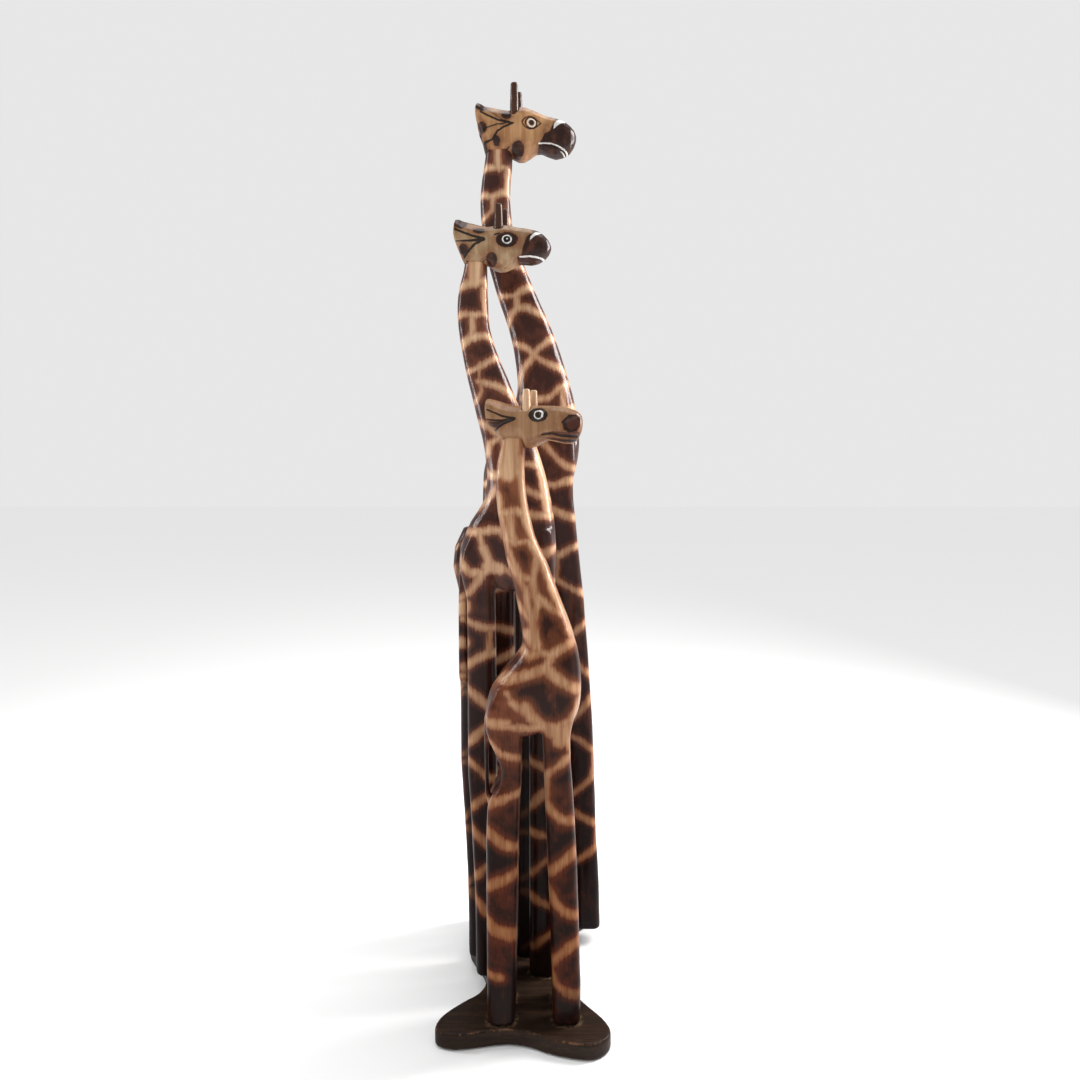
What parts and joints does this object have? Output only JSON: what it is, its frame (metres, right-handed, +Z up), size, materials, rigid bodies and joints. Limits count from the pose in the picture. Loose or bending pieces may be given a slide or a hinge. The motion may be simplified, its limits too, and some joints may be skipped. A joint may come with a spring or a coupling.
{
  "type": "carved giraffe statue",
  "caption": "Family group of carved and burnt wooden giraffes, one behind another, on a shared dark lobed base; a free-standing ornament.",
  "frame": {"origin": "middle of the base's underside", "axes": "+X the way the giraffes face, +Y from the small giraffe towards the tall one, +Z up"},
  "size_m": [0.179, 0.2687, 0.997],
  "materials": {
    "carved_wood": "carved pale wood with burnt dark brown patches, gloss lacquer",
    "head_wood": "carved tan wood, painted details, gloss lacquer",
    "burnt_horn": "burnt dowel, gloss lacquer",
    "small_horn_wood": "pale dowel, gloss lacquer",
    "dowel_wood": "plain dowel, unfinished, hidden",
    "base_wood": "dark brown stained wood, satin lacquer, worn edges",
    "screw_steel": "plain wood screw, hidden"
  },
  "bodies": {
    "root": {"base_board": "base_wood", "tall_body": "carved_wood", "tall_head": "head_wood", "tall_near_horn": "burnt_horn", "tall_far_horn": "burnt_horn", "tall_neck_dowel": "dowel_wood", "tall_foot_screws": "screw_steel", "medium_body": "carved_wood", "medium_head": "head_wood", "medium_near_horn": "burnt_horn", "medium_far_horn": "burnt_horn", "medium_neck_dowel": "dowel_wood", "medium_foot_screws": "screw_steel", "small_body": "carved_wood", "small_head": "head_wood", "small_near_horn": "small_horn_wood", "small_far_horn": "small_horn_wood", "small_neck_dowel": "dowel_wood", "small_foot_screws": "screw_steel"}
  },
  "joints": []
}
